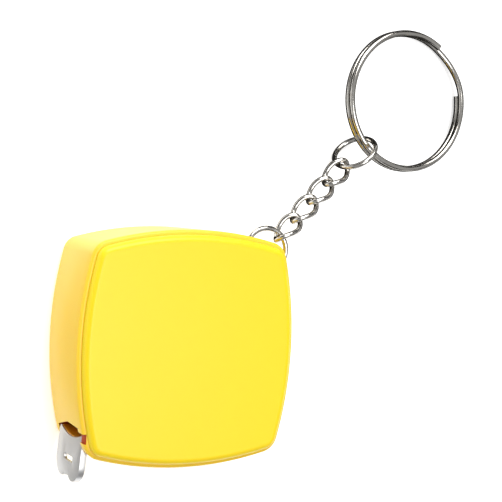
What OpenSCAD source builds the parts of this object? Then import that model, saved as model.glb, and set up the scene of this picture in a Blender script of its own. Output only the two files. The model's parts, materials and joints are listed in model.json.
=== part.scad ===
// Pocket tape measure on a key ring: a rounded-square case with a spring reel,
// a steel tape with an end hook, a short curb chain and a two-turn split ring.
// The case lies on its back. Origin: centre of the rear face. +Z: out of the front face.

/* [Case] */
// Width of the case at its widest, across the front rim
case_w = 38; // [36:0.5:46]
// Height of the case at its tallest, across the front rim
case_h = 39; // [37:0.5:47]
// Thickness of the whole case, rear face to front face
case_d = 17.8; // [17.8:0.1:22]
// Radius of the gently bowed sides
side_r = 59; // [45:1:90]
// Radius of the four corners
corner_r = 3.2; // [3:0.1:4]
// How much smaller the rear face is on each side than the front rim
draft = 0.55; // [0:0.05:0.8]
// Thickness of the case walls
wall = 1.5; // [1.2:0.1:1.7]
// Rounding of the rear edge
rear_round = 1.3; // [0.8:0.1:1.4]
// Rounding of the shell's front rim
rim_round = 0.55; // [0.3:0.05:0.7]

/* [Front cover] */
// Height of the raised front panel above the rim
panel_h = 1.35; // [1:0.05:1.8]
// Width of the ledge between the rim's outside and the panel
ledge = 0.72; // [0.4:0.02:1]
// Rounding of the panel's front edge
panel_round = 1.1; // [0.6:0.05:1.3]
// Depth of the skirt that locates the cover in the shell
skirt_h = 1.8; // [1:0.1:1.9]
// Thickness of the locating skirt
skirt_t = 1.1; // [0.8:0.1:1.3]

/* [Reel] */
// Radius of the fixed spring arbor
arbor_r = 2.2; // [1.6:0.1:2.6]
// Outer radius of the drum that the tape winds on
drum_r = 12.4; // [11:0.1:13]
// Radial thickness of the drum wall
drum_wall = 1.4; // [1:0.1:1.8]
// Radial build-up of the wound tape
coil_build = 1.7; // [1:0.1:2]
// How far the reel flanges stand past the wound tape
flange_lip = 0.8; // [0.4:0.1:1]
// Thickness of the reel flanges
flange_t = 0.6; // [0.5:0.05:0.8]
// Thickness of the spring strip
spring_t = 0.3; // [0.2:0.05:0.4]
// Turns in the wound spring
spring_turns = 6; // [4:1:7]

/* [Tape] */
// Width of the tape
tape_w = 9.5; // [8:0.1:10]
// Thickness of the tape
tape_t = 0.15; // [0.12:0.01:0.2]
// Depth of the tape's curved section
tape_sag = 0.9; // [0.5:0.05:1]

/* [Mouth] */
// Height of the mouth above and below the tape's section
mouth_gap = 1.1; // [0.8:0.05:1.4]
// Clearance of the mouth beside the wider of the tape and the hook
mouth_side = 0.1; // [0.1:0.05:0.4]
// Fall of the mouth's upper edge towards the rear of the case
lip_drop = 1.2; // [0:0.1:1.3]
// Depth of the corner recess from the case's side
recess_in = 3.8; // [3.4:0.1:4.2]
// Depth of the shallower relief in front of the recess
relief_in = 2.8; // [2:0.1:3]
// Height of that relief
relief_h = 1.65; // [1:0.05:2.5]

/* [End hook] */
// Width of the hook plate
hook_w = 11.2; // [9:0.1:11.3]
// Length of the hook plate below the tape
hook_h = 7; // [5.5:0.1:8]
// Thickness of the hook plate
hook_t = 0.6; // [0.5:0.05:0.7]
// Thickness of the riveted tongue
tongue_t = 0.5; // [0.4:0.05:0.6]
// Gap between the hook plate and the recess behind it
hook_gap = 0.9; // [0.3:0.05:1]
// Outward lean of the hook plate, in degrees
hook_lean = 5; // [0:1:12]
// Rounding of the hook plate's top corners
hook_corner = 1.2; // [0.4:0.1:1.6]
// Radius of the two lobes at the hook plate's foot
lobe_r = 3; // [2:0.1:3.6]
// Depth of the notch between the lobes
notch_h = 0.55; // [0.2:0.05:1]
// Length of the riveted tongue
tongue_l = 3.6; // [3:0.1:4]
// Width of the riveted tongue
tongue_w = 6.4; // [5:0.1:7]
// Width of the slot in the hook plate
slot_w = 4.2; // [2:0.1:4.4]
// Height of the slot in the hook plate
slot_h = 1; // [0.8:0.1:1.4]
// Radius of the rivet shanks
rivet_r = 0.5; // [0.4:0.05:0.6]
// Distance between the two rivets
rivet_pitch = 3.2; // [2.6:0.1:3.6]

/* [Screws] */
// Radius of the screw shanks
screw_r = 1.1; // [0.9:0.05:1.2]
// Radius of the screw heads
head_r = 2; // [1.8:0.05:2.1]
// Thickness of the screw heads
head_t = 1.1; // [0.9:0.05:1.2]

/* [Chain] */
// Wire diameter of the chain links and jump rings
wire = 0.9; // [0.8:0.05:1.05]
// Centreline radius of the jump rings
jump_r = 3.8; // [3.5:0.05:4]
// Half the length of a link, to its wire's centre
link_a = 3; // [2.8:0.05:3.4]
// Half the width of a link, to its wire's centre
link_b = 1.7; // [1.6:0.05:2]
// Play between two linked wires
link_play = 0.27; // [0.2:0.01:0.35]
// Heading of the chain, from +X towards +Y
chain_yaw = 42.8; // [38:0.1:47]
// Slope of the chain, down from the case to the table
chain_fall = 10.4; // [8:0.1:10.6]

/* [Split ring] */
// Outside diameter of the split ring
split_od = 25.4; // [22:0.1:30]
// Wire diameter of the split ring
split_wire = 1.1; // [0.9:0.05:1.2]
// Gap between the two turns
split_gap = 0.06; // [0.04:0.01:0.15]
// Angle over which the wire crosses from one turn to the other
split_cross = 48; // [30:1:60]
// Heading from the upper jump ring to the split ring's centre
split_yaw = 41.5; // [37:0.5:46]
// Tilt of the split ring off the table
split_tilt = 6.2; // [4:0.1:6.4]

/* [Hidden] */
$fn = 48;
eps = 0.05;
fit = 0.05;       // radial clearance of a running or locating fit
seat = 0.3;       // gap between faces that pass each other

// Case outline: four bowed sides joined by tangent corner arcs
half_w = case_w / 2;
bow = half_w - side_r;
corner_c = corner_centre(side_r, corner_r);
tall = case_h / case_w;
side_steps = 9;
corner_steps = 6;
least_r = 0.4;    // least corner radius inside the case
rim_z = case_d - panel_h;
inner = wall + draft;

// Tape and reel heights
tape_mid = case_d / 2 - 0.4;
tape_low = tape_mid - tape_w / 2;
tape_high = tape_mid + tape_w / 2;
flange_low = tape_low - seat + 0.05;
flange_high = tape_high + seat - 0.05;
coil_r = drum_r + coil_build;
flange_r = coil_r + flange_lip;
boss_z = flange_low - flange_t - seat;

// Tape section: an arc, hollow towards +Y
sag_r = (pow(tape_w / 2, 2) + pow(tape_sag, 2)) / (2 * tape_sag);
run_y = -coil_r - tape_sag - 0.1;
run_x0 = -4.4;

// Mouth and hook
recess_x = -half_w + recess_in;
relief_x = -half_w + relief_in;
mouth_top = run_y + tape_sag + mouth_gap + 0.45;
mouth_low = run_y - tongue_t - 0.75;
relief_top = mouth_top - 0.6;
mouth_z0 = tape_mid - max(tape_w, hook_w) / 2 - mouth_side;
mouth_z1 = tape_mid + max(tape_w, hook_w) / 2 + mouth_side;
hook_x = recess_x - hook_gap;
rivet_x = hook_x + 2.2;

// Screw posts in the two corners that hold neither the mouth nor the ring
post_x = corner_c - 1.5;
post_y = (corner_c - 1.5) * tall;
post_r = screw_r + 1.4;
post_z = rim_z - skirt_h;
screws = [[-post_x, post_y], [post_x, -post_y]];

// Lower jump ring, round the corner wall
key_z = tape_mid - 0.4;
jump_x = corner_c + 3.29;
jump_y = corner_c * tall + 1.22;
slot_clear = 0.2;

// Chain: each link follows the line from the lower jump ring's wire
grip = wire + link_play;
link_pitch = 2 * link_a - grip;
chain_dir = [cos(chain_fall) * cos(chain_yaw), cos(chain_fall) * sin(chain_yaw), -sin(chain_fall)];
chain_from = [jump_x + jump_r * cos(chain_yaw), jump_y + jump_r * sin(chain_yaw), key_z];
upper_at = chain_from + chain_dir * (2 * (link_a - grip) + 3 * link_pitch + jump_r);
link_twist = 90;  // twist of a curb link from end to end
upper_roll = -70; // roll of the upper jump ring about the chain
split_room = 0.35; // gap between the split ring's wire and the upper jump ring's, in line with the chain
first_roll = -58; // roll of the first link about the chain
link_roll = 8;    // how much each link is turned from the one before it

// Split ring
split_r = (split_od - split_wire) / 2;
split_bite = jump_r - wire / 2 - split_wire / 2 - split_room;
split_reach = split_bite + split_r;
split_at = upper_at + split_reach
    * [cos(split_tilt) * cos(split_yaw), cos(split_tilt) * sin(split_yaw), -sin(split_tilt)];

split_start = -33.5;  // heading of the wire's lower end, from the ring's own +X
split_step = 8;

// Centre, in x and in y, of the corner arc of radius r that meets side arcs of radius s
function corner_centre(s, r) = (2 * bow + sqrt(8 * pow(s - r, 2) - 4 * bow * bow)) / 4;

// One side and one corner of radii s and r, with the corner arc centred at c
function quarter(s, r, c) = let (meet = atan2(c, c - bow)) concat(
    [for (i = [0 : side_steps - 1])
        let (a = -meet + 2 * meet * i / side_steps)
        [bow + s * cos(a), s * sin(a)]],
    [for (i = [0 : corner_steps - 1])
        let (a = meet + (90 - 2 * meet) * i / corner_steps)
        [c + r * cos(a), c + r * sin(a)]]);

// Points of the case outline, set in from the rim's outside by e
function outline(e) = let (
    s = side_r - e,
    r = max(corner_r - e, least_r),
    turn = quarter(s, r, corner_centre(s, r)))
    [for (q = [0 : 3]) for (p = turn)
    [p[0] * cos(90 * q) - p[1] * sin(90 * q),
     tall * (p[0] * sin(90 * q) + p[1] * cos(90 * q))]];

// Solid through rings of the outline, one for each [height, inset]
module lofted(levels) {
    n = len(outline(0));
    m = len(levels);
    points = [for (l = levels) for (p = outline(l[1])) [p[0], p[1], l[0]]];
    sides = [for (j = [0 : m - 2]) for (i = [0 : n - 1])
        [j * n + i, (j + 1) * n + i, (j + 1) * n + (i + 1) % n, j * n + (i + 1) % n]];
    bottom = [for (i = [0 : n - 1]) i];
    top = [for (i = [n - 1 : -1 : 0]) (m - 1) * n + i];
    polyhedron(points, concat([bottom, top], sides), convexity = 4);
}

// Heights and insets of a rounded edge of radius r that ends at height z, inset e
function rear_edge(r, e) = [for (a = [0 : 22.5 : 90]) [r - r * cos(a), e + r - r * sin(a)]];
function front_edge(z, r, e) = [for (a = [0 : 22.5 : 90]) [z - r + r * sin(a), e + r - r * cos(a)]];

module shell_skin() {
    lofted(concat(rear_edge(rear_round, draft), front_edge(rim_z, rim_round, 0)));
}

module panel_skin() {
    lofted(concat([[rim_z + eps, ledge + 0.15], [rim_z + eps + 0.12, ledge]],
        front_edge(case_d, panel_round, ledge)));
}

// Ring-shaped slot through the corner, in which the lower jump ring turns
module key_slot() {
    translate([jump_x, jump_y, key_z])
        rotate_extrude()
            translate([jump_r - wire / 2 - slot_clear, -wire / 2 - slot_clear])
                square([wire + 2 * slot_clear, wire + 2 * slot_clear]);
}

// Space for the tape and the hook at the lower left corner
module mouth_cut() {
    mouth_slab(recess_x + half_w + 5, -half_w - 5);
    mouth_slab(half_w, mouth_low);
    relief_cut();
}

// Slab from the left side inwards, its top falling towards the rear of the case
module mouth_slab(length, low) {
    translate([-half_w - 5, 0, 0])
        rotate([90, 0, 90])
            linear_extrude(length)
                polygon([[low, mouth_z0], [mouth_top - lip_drop, mouth_z0],
                    [mouth_top, tape_mid], [mouth_top, mouth_z1], [low, mouth_z1]]);
}

// Shallow cut from the mouth to the front face, above a whole corner
module relief_cut() {
    translate([-half_w - 5, relief_top - relief_h, mouth_z1 - eps])
        cube([relief_x + half_w + 5, relief_h, case_d]);
}

module screw_posts(z0, z1) {
    for (s = screws)
        translate([s[0], s[1], z0])
            cylinder(r = post_r, h = z1 - z0);
}

module screw_holes(z0, z1) {
    for (s = screws)
        translate([s[0], s[1], z0])
            cylinder(r = screw_r + fit, h = z1 - z0);
}

module rear_shell() {
    color([0.98, 0.84, 0.22])
    difference() {
        union() {
            difference() {
                shell_skin();
                translate([0, 0, wall])
                    linear_extrude(case_d)
                        polygon(outline(inner));
            }
            intersection() {
                shell_skin();
                union() {
                    screw_posts(wall - eps, post_z - eps);
                    translate([-half_w, -half_w - 2, wall - eps])
                        cube([recess_in + wall, half_w + 2 + mouth_top + wall, post_z - wall]);
                }
            }
            translate([0, 0, wall - eps])
                cylinder(r = arbor_r + 1.4, h = boss_z - wall + eps);
        }
        translate([0, 0, 0.7])
            cylinder(r = arbor_r + fit, h = case_d);
        translate([0, 0, boss_z])
            cylinder(r = flange_r + seat, h = case_d);
        mouth_cut();
        key_slot();
        screw_holes(-1, case_d);
        for (s = screws)
            translate([s[0], s[1], -1])
                cylinder(r = head_r + 0.15, h = 1.2 + head_t);
    }
}

module front_cover() {
    color([1, 0.86, 0.25])
    difference() {
        union() {
            panel_skin();
            difference() {
                translate([0, 0, post_z])
                    linear_extrude(skirt_h + 2 * eps)
                        polygon(outline(inner + 0.1));
                translate([0, 0, post_z - 1])
                    linear_extrude(skirt_h + 1)
                        polygon(outline(inner + 0.1 + skirt_t));
            }
            screw_posts(post_z, rim_z + 3 * eps);
            translate([0, 0, flange_high + flange_t + seat])
                cylinder(r = arbor_r + 1.4, h = rim_z - flange_high - flange_t - seat + 4 * eps);
        }
        translate([0, 0, -1])
            cylinder(r = arbor_r + fit, h = rim_z + 1);
        screw_holes(0, rim_z + 0.3);
        relief_cut();
    }
}

module case_screw(at) {
    color([0.75, 0.75, 0.76])
    translate([at[0], at[1], 0.2])
        difference() {
            union() {
                cylinder(r = head_r, h = head_t);
                cylinder(r = screw_r, h = rim_z - 0.1);
            }
            for (a = [0, 90])
                rotate([0, 0, a])
                    translate([-1.3, -0.25, -1])
                        cube([2.6, 0.5, 1.6]);
        }
}

module case_screw_1() { case_screw(screws[0]); }
module case_screw_2() { case_screw(screws[1]); }

// Fixed shaft with a slit that holds the spring's inner end
module spring_arbor() {
    color([0.72, 0.72, 0.74])
    difference() {
        translate([0, 0, 0.75])
            cylinder(r = arbor_r, h = rim_z - 0.9);
        translate([-arbor_r - 1, -0.25, flange_low + 1])
            cube([2 * arbor_r + 2, 0.5, flange_high - flange_low - 2]);
    }
}

module reel_drum() {
    color([0.16, 0.16, 0.17])
    difference() {
        union() {
            translate([0, 0, flange_low - flange_t])
                cylinder(r = flange_r, h = flange_t);
            translate([0, 0, flange_low - flange_t])
                cylinder(r = drum_r, h = flange_high - flange_low + flange_t);
        }
        translate([0, 0, flange_low + 0.3])
            cylinder(r = drum_r - drum_wall, h = case_d);
        translate([0, 0, -1])
            cylinder(r = arbor_r + fit, h = case_d);
    }
}

module reel_cap() {
    color([0.2, 0.2, 0.21])
    difference() {
        translate([0, 0, flange_high])
            cylinder(r = flange_r, h = flange_t);
        translate([0, 0, -1])
            cylinder(r = arbor_r + fit, h = 2 * case_d);
    }
}

// Flat spiral strip between the arbor and the drum wall
module mainspring() {
    r0 = arbor_r + 0.7;
    r1 = drum_r - drum_wall - spring_t - 0.2;
    steps = 20 * spring_turns;
    path = [for (i = [0 : steps]) let (a = 18 * i, r = r0 + (r1 - r0) * i / steps) [a, r]];
    color([0.45, 0.47, 0.5])
    translate([0, 0, flange_low + 0.6])
        linear_extrude(flange_high - flange_low - 1.1)
            polygon(concat(
                [for (p = path) [p[1] * cos(p[0]), p[1] * sin(p[0])]],
                [for (i = [steps : -1 : 0])
                    (path[i][1] + spring_t) * [cos(path[i][0]), sin(path[i][0])]]));
}

module blade_coil() {
    color([0.96, 0.86, 0.3])
    translate([0, 0, tape_low])
        difference() {
            cylinder(r = coil_r, h = tape_w);
            translate([0, 0, -1])
                cylinder(r = drum_r + fit, h = tape_w + 2);
        }
}

// Strip with the tape's curved section, along X from x0 to x1; r is its outer radius
module arc_strip(r, t, w, x0, x1) {
    translate([x0, run_y + sag_r, tape_mid])
        rotate([90, 0, 90])
            linear_extrude(x1 - x0)
                intersection() {
                    difference() {
                        circle(r = r);
                        circle(r = r - t);
                    }
                    translate([-r - 1, -w / 2])
                        square([r, w]);
                }
}

// Both rivets' places, for a cylinder of radius r from y0 to y1
module at_rivets(r, y0, y1) {
    for (side = [-1, 1])
        rivet_cylinder(side, r, y0, y1);
}

module rivet_cylinder(side, r, y0, y1) {
    translate([rivet_x, y1, tape_mid + side * rivet_pitch / 2])
        rotate([90, 0, 0])
            cylinder(r = r, h = y1 - y0);
}

module blade_run() {
    color([0.96, 0.86, 0.3])
    difference() {
        arc_strip(sag_r, tape_t, tape_w, hook_x - hook_t / 2, run_x0);
        at_rivets(rivet_r + fit, run_y - 1, run_y + 2);
    }
}

// Outline of the hook plate from its foot to its top, with x up and the tape's vertex at x = 0
module plate_outline() {
    foot = lobe_r - hook_h;
    translate([foot, -hook_w / 2])
        square([tape_sag - hook_corner - foot, hook_w]);
    translate([foot, hook_corner - hook_w / 2])
        square([tape_sag - foot, hook_w - 2 * hook_corner]);
    translate([notch_h - hook_h, lobe_r - hook_w / 2])
        square([lobe_r - notch_h + eps, hook_w - 2 * lobe_r]);
    for (side = [-1, 1]) {
        translate([foot, side * (hook_w / 2 - lobe_r)])
            circle(r = lobe_r);
        translate([tape_sag - hook_corner, side * (hook_w / 2 - hook_corner)])
            circle(r = hook_corner);
    }
}

// Tongue under the tape and a leaning plate that turns down from it, with a slot and two lobes
module end_hook() {
    color([0.82, 0.82, 0.82])
    difference() {
        union() {
            arc_strip(sag_r + 0.02 + tongue_t, tongue_t, tongue_w,
                hook_x - hook_t + 0.1, hook_x - hook_t + tongue_l);
            translate([hook_x - hook_t / 2, run_y, tape_mid])
                rotate([90, 0, 90 - hook_lean])
                    translate([0, 0, -hook_t / 2])
                        linear_extrude(hook_t)
                            difference() {
                                plate_outline();
                                translate([sag_r, 0])
                                    circle(r = sag_r + 0.02);
                                translate([-hook_h * 0.52 - slot_h / 2, -slot_w / 2])
                                    square([slot_h, slot_w]);
                            }
        }
        at_rivets(rivet_r + fit, run_y - 2, run_y + 2);
    }
}

module hook_rivet(side) {
    rise = sag_r - sqrt(sag_r * sag_r - pow(rivet_pitch / 2 + 0.85, 2));
    drop = tongue_t + 0.02;
    color([0.8, 0.78, 0.74]) {
        rivet_cylinder(side, rivet_r, run_y - drop - 0.1, run_y + tape_t + rise + 0.1);
        rivet_cylinder(side, 0.85, run_y + tape_t + rise, run_y + tape_t + rise + 0.28);
        rivet_cylinder(side, 0.8, run_y - drop - 0.25, run_y - drop - 0.02);
    }
}

module hook_rivet_1() { hook_rivet(-1); }
module hook_rivet_2() { hook_rivet(1); }

// Ring of round wire in its own XY plane, with a fine butt joint at heading a
module jump_ring(a) {
    color([0.86, 0.86, 0.85])
    difference() {
        rotate_extrude($fn = 72)
            translate([jump_r, 0])
                circle(r = wire / 2, $fn = 32);
        rotate([0, 0, a])
            translate([jump_r - wire, -0.06, -wire])
                cube([2 * wire, 0.12, 2 * wire]);
    }
}

module lower_jump_ring() {
    translate([jump_x, jump_y, key_z])
        jump_ring(chain_yaw - 105);
}

module upper_jump_ring() {
    translate(upper_at)
        rotate([0, chain_fall, chain_yaw])
            rotate([upper_roll, 0, 0])
                jump_ring(100);
}

function unit(v) = v / norm(v);

// Round wire of radius r along points that pass round the origin
module wire_along(points, r, closed) {
    n = len(points);
    sides = 10;
    last = closed ? n - 1 : n - 2;
    rings = [for (i = [0 : n - 1])
        let (before = points[closed ? (i + n - 1) % n : max(i - 1, 0)],
            after = points[closed ? (i + 1) % n : min(i + 1, n - 1)],
            along = unit(after - before),
            out = unit(points[i] - along * (points[i] * along)),
            up = cross(along, out))
        for (k = [0 : sides - 1])
            points[i] + r * (out * cos(360 * k / sides) + up * sin(360 * k / sides))];
    walls = [for (i = [0 : last]) for (k = [0 : sides - 1])
        let (j = (i + 1) % n, m = (k + 1) % sides)
        [i * sides + k, j * sides + k, j * sides + m, i * sides + m]];
    ends = closed ? [] : [[for (k = [0 : sides - 1]) k],
        [for (k = [sides - 1 : -1 : 0]) (n - 1) * sides + k]];
    polyhedron(rings, concat(walls, ends), convexity = 6);
}

// Curb link along X: an oval whose two ends are twisted apart
function curb_points() = [for (i = [0 : 35])
    let (t = 10 * i, lean = link_twist / 2 * cos(t))
    [link_a * cos(t), link_b * sin(t) * cos(lean), link_b * sin(t) * sin(lean)]];

module chain_link(i) {
    color([0.86, 0.86, 0.85])
    translate(chain_from + chain_dir * (link_a - grip + i * link_pitch))
        rotate([0, chain_fall, chain_yaw])
            rotate([first_roll + link_roll * i, 0, 0])
                wire_along(curb_points(), wire / 2, true);
}

module chain_link_1() { chain_link(0); }
module chain_link_2() { chain_link(1); }
module chain_link_3() { chain_link(2); }
module chain_link_4() { chain_link(3); }

// Height of the split ring's wire after it has gone round by s degrees
function climb(s) =
    let (u = max(0, min(1, (s - 360 + split_cross) / split_cross)))
    (split_wire + split_gap) * (u * u * (3 - 2 * u) - 0.5);
function split_points() = [for (s = [0 : split_step : 720 - split_cross])
    [split_r * cos(split_start - s), split_r * sin(split_start - s), climb(s)]];

module split_ring() {
    color([0.86, 0.86, 0.85])
    translate(split_at)
        rotate([0, split_tilt, split_yaw])
            wire_along(split_points(), split_wire / 2, false);
}

rear_shell();
front_cover();
case_screw_1();
case_screw_2();
spring_arbor();
reel_drum();
reel_cap();
mainspring();
blade_coil();
blade_run();
end_hook();
hook_rivet_1();
hook_rivet_2();
lower_jump_ring();
chain_link_1();
chain_link_2();
chain_link_3();
chain_link_4();
upper_jump_ring();
split_ring();
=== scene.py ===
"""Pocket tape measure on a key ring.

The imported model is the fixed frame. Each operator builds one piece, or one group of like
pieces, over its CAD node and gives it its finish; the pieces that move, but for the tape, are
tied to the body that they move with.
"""

import json
import math

import bmesh
import bpy
import numpy as np
from mathutils import Matrix, Vector


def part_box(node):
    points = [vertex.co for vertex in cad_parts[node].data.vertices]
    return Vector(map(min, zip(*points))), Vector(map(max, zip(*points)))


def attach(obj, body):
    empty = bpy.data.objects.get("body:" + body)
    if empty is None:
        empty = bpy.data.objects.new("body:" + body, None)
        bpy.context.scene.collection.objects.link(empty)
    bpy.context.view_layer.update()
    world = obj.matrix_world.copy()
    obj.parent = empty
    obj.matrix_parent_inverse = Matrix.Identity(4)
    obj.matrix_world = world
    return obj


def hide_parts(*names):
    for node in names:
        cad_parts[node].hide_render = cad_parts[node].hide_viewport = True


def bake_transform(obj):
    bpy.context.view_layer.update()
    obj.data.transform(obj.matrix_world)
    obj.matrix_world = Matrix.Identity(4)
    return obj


bl_info = {
    "name": "Key Ring Tape Measure",
    "version": (1, 0, 0),
    "blender": (4, 5, 0),
    "location": "3D View > Sidebar > Tape Measure",
    "description": "Builds a pocket tape measure with its chain and split ring",
    "category": "Add Mesh",
}

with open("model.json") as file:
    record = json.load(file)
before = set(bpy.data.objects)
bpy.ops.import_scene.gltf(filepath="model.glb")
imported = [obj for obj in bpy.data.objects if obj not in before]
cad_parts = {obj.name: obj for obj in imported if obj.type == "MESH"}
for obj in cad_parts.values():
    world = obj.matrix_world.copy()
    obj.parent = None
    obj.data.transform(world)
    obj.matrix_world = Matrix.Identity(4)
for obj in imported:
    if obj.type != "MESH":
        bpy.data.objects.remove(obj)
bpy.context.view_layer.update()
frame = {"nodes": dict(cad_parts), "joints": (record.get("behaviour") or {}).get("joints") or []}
NODES = frame["nodes"]
JOINTS = {joint["name"]: joint for joint in frame["joints"]}
MM = 0.001


def span(node):
    """Lowest corner, highest corner and middle of a CAD node."""
    low, high = (np.array(corner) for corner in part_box(node))
    return low, high, (low + high) / 2


SHELL_LOW, SHELL_HIGH = span("rear_shell")[:2]
COVER_LOW, COVER_HIGH = span("front_cover")[:2]
HOOK_LOW, HOOK_HIGH = span("end_hook")[:2]
TAPE_LOW, TAPE_HIGH, TAPE_MID = span("blade_run")
RING_MID = span("lower_jump_ring")[2]
RUN_Y = float(TAPE_LOW[1])
TAPE_Z = float(TAPE_MID[2])
SCREWS = ("case_screw_1", "case_screw_2")
RIVETS = ("hook_rivet_1", "hook_rivet_2")

# Case: screw posts, holes, what the skirt takes of the rim, and the room round moving parts
POST_RADIUS = 2.5 * MM
SCREW_HOLE = 1.15 * MM
SKIRT_HIGH = 1.8 * MM
SLOT_ROOM = 0.2 * MM
BEYOND = 5 * MM
# Hook: its foot below the tape, its upper corners, and the tongue under the tape
FOOT = -6.95 * MM
CORNER = 0.6 * MM
TONGUE_HALF = 3.2 * MM
TONGUE_THICK = 0.5 * MM
BEND = 0.55 * MM
TAPE_THICK = 0.14 * MM
# Opening of a jump ring, and the part of a turn in which the split ring's wire changes sides
RING_OPENING = math.radians(2.4)
SPLIT_CROSS = 48.0
SPLIT_GAP = 0.06 * MM


# ---------------------------------------------------------------- settings


def length(name, text, default):
    """A length property with its unit."""
    return bpy.props.FloatProperty(
        name=name, description=text, default=default, unit="LENGTH", min=0, precision=5
    )


def angle(name, text, default):
    """An angle property, given in degrees."""
    return bpy.props.FloatProperty(
        name=name, description=text, default=math.radians(default), subtype="ANGLE"
    )


def colour(name, text, default):
    """A colour property."""
    return bpy.props.FloatVectorProperty(
        name=name, description=text, default=default, subtype="COLOR", size=3, min=0, max=1
    )


class CaseSettings(bpy.types.PropertyGroup):
    """Sizes and colours of the moulded case."""

    width: length("Width", "Across the front rim", float(SHELL_HIGH[0] - SHELL_LOW[0]))
    height: length("Height", "Across the front rim", float(SHELL_HIGH[1] - SHELL_LOW[1]))
    depth: length("Depth", "Rear face to front face", float(COVER_HIGH[2]))
    rim: length("Rim", "Height of the shell's front rim", float(SHELL_HIGH[2]))
    side_radius: length("Side radius", "Radius of the bowed sides", 59 * MM)
    corner_radius: length("Corner radius", "Radius of the corners", 3.2 * MM)
    draft: length("Draft", "How much smaller the rear is on each side", 0.55 * MM)
    wall: length("Wall", "Thickness of the walls", 1.5 * MM)
    rear_round: length("Rear rounding", "Radius of the rear edge", 1.3 * MM)
    rim_round: length("Rim rounding", "Radius of the front rim", 0.55 * MM)
    ledge: length("Ledge", "Width of the ledge round the panel", 0.72 * MM)
    panel_round: length("Panel rounding", "Radius of the panel's edge", 1.1 * MM)
    shell_colour: colour("Shell", "Colour of the moulded shell", (0.90, 0.59, 0.035))
    cover_colour: colour("Cover", "Colour of the front cover", (0.89, 0.645, 0.011))
    # Painted shade: the hollows get a darker, redder colour that stands for the dim light through the
    # plastic.
    hollow_shade_colour: colour("Inside", "Colour of the plastic in its hollows", (0.36, 0.045, 0.0003))


class TapeSettings(bpy.types.PropertyGroup):
    """Sizes and colours of the tape and its hook."""

    width: length("Width", "Width of the tape", 9.5 * MM)
    sag: length("Sag", "Depth of the curved section", 0.9 * MM)
    travel: length("Travel", "How far the tape pulls out", float(JOINTS["tape_pull"]["range_m"][1]))
    hook_thick: length("Hook", "Thickness of the hook plate", 0.6 * MM)
    rail: length("Rail", "Rise of the turned-in rim round the hook's sides and foot", 0.42 * MM)
    lobe: length("Lobe", "Radius of the hook's two lobes", 3 * MM)
    notch: length("Notch", "Depth of the notch between the lobes", 0.55 * MM)
    lean: angle("Lean", "Outward lean of the hook plate", 5)
    slot_width: length("Slot width", "Width of the slot in the hook", 4.2 * MM)
    slot_height: length("Slot height", "Height of the slot in the hook", 1 * MM)
    # Partly painted light: the tape's own paint, pushed to deep orange for the light that reaches it
    # through the case's plastic.
    tape_paint_and_light_colour: colour("Tape", "Colour of the painted tape", (0.87, 0.40, 0.013))
    hook_colour: colour("Hook", "Colour of the bare steel", (0.60, 0.60, 0.595))


class ChainSettings(bpy.types.PropertyGroup):
    """Sizes and colour of the chain and its rings."""

    wire: length("Wire", "Wire diameter of links and jump rings", 0.9 * MM)
    jump_radius: length("Jump ring", "Centreline radius of the jump rings", 3.8 * MM)
    half_length: length("Link length", "Half a link's length to its wire's centre", 3 * MM)
    half_width: length("Link width", "Half a link's width to its wire's centre", 1.7 * MM)
    twist: angle("Twist", "Twist of a link from end to end", 90)
    split_wire: length("Split ring wire", "Wire diameter of the split ring", 1.1 * MM)
    split_radius: length("Split ring", "Centreline radius of the split ring", 12.14 * MM)
    plate_colour: colour("Plating", "Colour of the nickel plating", (0.60, 0.59, 0.57))


class StageSettings(bpy.types.PropertyGroup):
    """Camera and floor."""

    lens: bpy.props.FloatProperty(name="Lens", description="Focal length", default=105.06, min=10)
    shift: bpy.props.FloatProperty(name="Shift", description="Camera shift, both ways", default=0.08)
    floor: colour("Floor", "Colour of the floor", (0.96, 0.96, 0.96))


# ---------------------------------------------------------------- finishes


class Value:
    """A number socket of a material, on which Python arithmetic adds Math nodes."""

    def __init__(self, finish, socket):
        self.finish = finish
        self.socket = socket

    def math(self, operation, *others):
        node = self.finish.node("ShaderNodeMath", {"operation": operation}, [self, *others])
        return Value(self.finish, node.outputs[0])

    def __add__(self, other):
        return self.math("ADD", other)

    __radd__ = __add__

    def __sub__(self, other):
        return self.math("SUBTRACT", other)

    def __rsub__(self, other):
        return (self * -1).math("ADD", other)

    def __mul__(self, other):
        return self.math("MULTIPLY", other)

    __rmul__ = __mul__

    def __truediv__(self, other):
        return self.math("DIVIDE", other)

    def __lt__(self, other):
        return self.math("LESS_THAN", other)

    def __gt__(self, other):
        return self.math("GREATER_THAN", other)


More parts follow.
